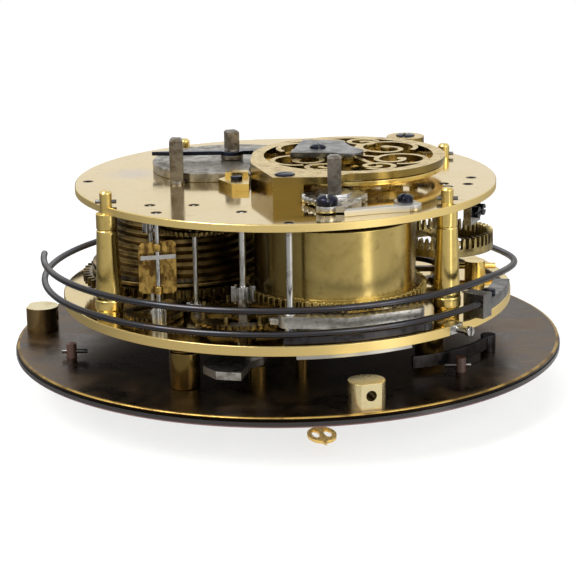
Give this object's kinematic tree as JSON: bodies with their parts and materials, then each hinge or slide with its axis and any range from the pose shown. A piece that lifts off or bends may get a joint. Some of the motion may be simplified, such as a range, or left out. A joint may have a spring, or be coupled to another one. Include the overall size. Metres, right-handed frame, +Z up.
{
  "type": "coach clock movement",
  "caption": "Uncased spring-driven coach clock movement, dial down, with fusee going train, pierced balance cock, strike train, wire gong, enamel dial and hands.",
  "frame": {"origin": "tip of the hand-setting square on the centre arbor's axis, the lowest point as the movement lies dial down", "axes": "+Z up, from the dial to the back plate with the balance cock; +Y away from the strike barrel's side"},
  "size_m": [0.1104, 0.1104, 0.0512],
  "materials": {
    "polished_brass": "polished, lacquered",
    "lapped_brass": "lapped plate",
    "gilt_brass": "fire gilt, pierced",
    "patinated_brass": "chemically darkened",
    "silvered_brass": "silvered, worn",
    "polished_steel": "polished",
    "dark_steel": "ground, oiled",
    "blued_steel": "heat blued",
    "gong_steel": "hardened and blued wire",
    "white_enamel": "vitreous enamel on copper"
  },
  "bodies": {
    "frame": {"dial_plate": "patinated_brass", "dial": "white_enamel", "taper_pins": "polished_steel", "case_blocks": "polished_brass", "pillars": "polished_brass", "pillar_plate": "lapped_brass", "top_plate": "lapped_brass", "balance_cock": "polished_brass", "screws": "blued_steel", "endpiece": "polished_steel", "regulator_plate": "silvered_brass", "regulator_clamp": "polished_brass", "potence": "polished_brass", "counter_potence": "dark_steel", "flat_springs": "polished_steel", "gong_wire": "gong_steel", "gong_block": "dark_steel", "case_catch": "dark_steel", "studs": "polished_brass", "going_barrel_arbor": "polished_steel", "fusee_chain": "dark_steel"},
    "great_wheel_body": {"great_wheel": "polished_brass"},
    "fusee_body": {"fusee": "polished_brass", "fusee_arbor": "polished_steel"},
    "going_barrel_body": {"going_barrel": "polished_brass"},
    "centre_body": {"centre_arbor": "polished_steel", "centre_wheel": "polished_brass"},
    "third_body": {"third_arbor": "polished_steel", "third_wheel": "polished_brass"},
    "contrate_body": {"contrate_arbor": "polished_steel", "contrate_wheel": "polished_brass"},
    "crown_body": {"crown_arbor": "polished_steel", "crown_wheel": "polished_brass"},
    "balance_body": {"balance_staff": "polished_steel", "balance_wheel": "polished_brass", "balance_spring": "blued_steel"},
    "strike_barrel_body": {"strike_barrel": "polished_brass", "strike_barrel_cover": "polished_brass"},
    "strike_winder_body": {"strike_barrel_arbor": "polished_steel", "ratchet_wheel": "dark_steel"},
    "click_body": {"click": "dark_steel"},
    "pin_body": {"pin_wheel_arbor": "polished_steel", "pin_wheel": "polished_brass"},
    "strike_third_body": {"strike_third_arbor": "polished_steel", "strike_third_wheel": "polished_brass"},
    "warning_body": {"warning_arbor": "polished_steel", "warning_wheel": "polished_brass"},
    "fly_body": {"fly_arbor": "polished_steel", "fly": "polished_brass"},
    "hammer_body": {"hammer_arbor": "polished_steel", "hammer": "dark_steel"},
    "regulator_body": {"regulator_arbor": "polished_steel", "regulator_hand": "blued_steel"},
    "minute_body": {"cannon_pinion": "polished_steel", "minute_hand": "gilt_brass"},
    "minute_wheel_body": {"minute_wheel": "polished_brass"},
    "hour_body": {"hour_wheel": "polished_brass", "hour_hand": "gilt_brass"},
    "rack_body": {"strike_rack": "dark_steel"},
    "lifting_body": {"lifting_lever": "dark_steel"}
  },
  "joints": [
    {"name": "third_turn", "type": "hinge", "parent": "frame", "child": "third_body", "pos_m": [0.0219, 0.001, 0.022], "axis": [0, 0, 1], "continuous": true},
    {"name": "centre_turn", "type": "hinge", "parent": "frame", "child": "centre_body", "pos_m": [0, 0, 0.024], "axis": [0, 0, 1], "continuous": true},
    {"name": "great_wheel_turn", "type": "hinge", "parent": "frame", "child": "great_wheel_body", "pos_m": [-0.0215, -0.0042, 0.024], "axis": [0, 0, 1], "continuous": true},
    {"name": "contrate_turn", "type": "hinge", "parent": "frame", "child": "contrate_body", "pos_m": [0.031, -0.0086, 0.03], "axis": [0, 0, 1], "continuous": true},
    {"name": "crown_wheel_turn", "type": "hinge", "parent": "frame", "child": "crown_body", "pos_m": [0.01985, -0.00339, 0.03424], "axis": [0.9059, -0.4234, 0], "continuous": true},
    {"name": "balance_swing", "type": "hinge", "parent": "frame", "child": "balance_body", "pos_m": [0.0126, 0, 0.0445], "axis": [0, 0, 1], "range_deg": [-110, 110], "stiffness_Nm_per_rad": 0.0002},
    {"name": "fusee_wind", "type": "hinge", "parent": "great_wheel_body", "child": "fusee_body", "pos_m": [-0.0215, -0.0042, 0.032], "axis": [0, 0, 1], "range_deg": [0, 1800]},
    {"name": "going_barrel_turn", "type": "hinge", "parent": "frame", "child": "going_barrel_body", "pos_m": [0.006, 0.024, 0.032], "axis": [0, 0, 1], "continuous": true},
    {"name": "strike_third_turn", "type": "hinge", "parent": "frame", "child": "strike_third_body", "pos_m": [-0.0173, -0.0246, 0.03], "axis": [0, 0, 1], "continuous": true},
    {"name": "pin_wheel_turn", "type": "hinge", "parent": "frame", "child": "pin_body", "pos_m": [-0.0082, -0.031, 0.026], "axis": [0, 0, 1], "continuous": true},
    {"name": "strike_barrel_turn", "type": "hinge", "parent": "frame", "child": "strike_barrel_body", "pos_m": [0.0092, -0.0236, 0.032], "axis": [0, 0, 1], "continuous": true},
    {"name": "warning_turn", "type": "hinge", "parent": "frame", "child": "warning_body", "pos_m": [-0.0256, -0.0242, 0.03], "axis": [0, 0, 1], "continuous": true},
    {"name": "fly_turn", "type": "hinge", "parent": "frame", "child": "fly_body", "pos_m": [-0.024, -0.0306, 0.031], "axis": [0, 0, 1], "continuous": true},
    {"name": "strike_wind", "type": "hinge", "parent": "frame", "child": "strike_winder_body", "pos_m": [0.0092, -0.0236, 0.043], "axis": [0, 0, 1], "range_deg": [-1440, 0]},
    {"name": "click_lift", "type": "hinge", "parent": "frame", "child": "click_body", "pos_m": [0.0076, -0.0325, 0.043], "axis": [0, 0, 1], "range_deg": [-3, 0], "stiffness_Nm_per_rad": 0.00002},
    {"name": "hammer_swing", "type": "hinge", "parent": "frame", "child": "hammer_body", "pos_m": [0.0005, -0.0403, 0.024], "axis": [0, 0, 1], "range_deg": [-1, 9], "stiffness_Nm_per_rad": 0.001},
    {"name": "regulator_set", "type": "hinge", "parent": "frame", "child": "regulator_body", "pos_m": [-0.0109, 0.0104, 0.045], "axis": [0, 0, 1], "range_deg": [-40, 40]},
    {"name": "minute_hand_turn", "type": "hinge", "parent": "frame", "child": "minute_body", "pos_m": [0, 0, 0.01], "axis": [0, 0, 1], "continuous": true},
    {"name": "minute_wheel_turn", "type": "hinge", "parent": "frame", "child": "minute_wheel_body", "pos_m": [-0.00831, 0.0048, 0.014], "axis": [0, 0, 1], "continuous": true},
    {"name": "hour_hand_turn", "type": "hinge", "parent": "frame", "child": "hour_body", "pos_m": [0, 0, 0.008], "axis": [0, 0, 1], "continuous": true},
    {"name": "rack_swing", "type": "hinge", "parent": "frame", "child": "rack_body", "pos_m": [-0.0058, -0.033, 0.015], "axis": [0, 0, 1], "range_deg": [-3, 3]},
    {"name": "lifting_swing", "type": "hinge", "parent": "frame", "child": "lifting_body", "pos_m": [0.0026, -0.031, 0.016], "axis": [0, 0, 1], "range_deg": [-2, 2]}
  ],
  "couplings": [
    {"joint": "third_turn", "follows": "contrate_turn", "ratio": -0.14286},
    {"joint": "centre_turn", "follows": "contrate_turn", "ratio": 0.019048},
    {"joint": "great_wheel_turn", "follows": "contrate_turn", "ratio": -0.0031746},
    {"joint": "crown_wheel_turn", "follows": "contrate_turn", "ratio": -6},
    {"joint": "strike_third_turn", "follows": "warning_turn", "ratio": -0.19048},
    {"joint": "pin_wheel_turn", "follows": "warning_turn", "ratio": 0.031746},
    {"joint": "strike_barrel_turn", "follows": "warning_turn", "ratio": -0.0035273},
    {"joint": "fly_turn", "follows": "warning_turn", "ratio": -5},
    {"joint": "minute_wheel_turn", "follows": "minute_hand_turn", "ratio": -0.33333},
    {"joint": "hour_hand_turn", "follows": "minute_hand_turn", "ratio": 0.083333}
  ]
}
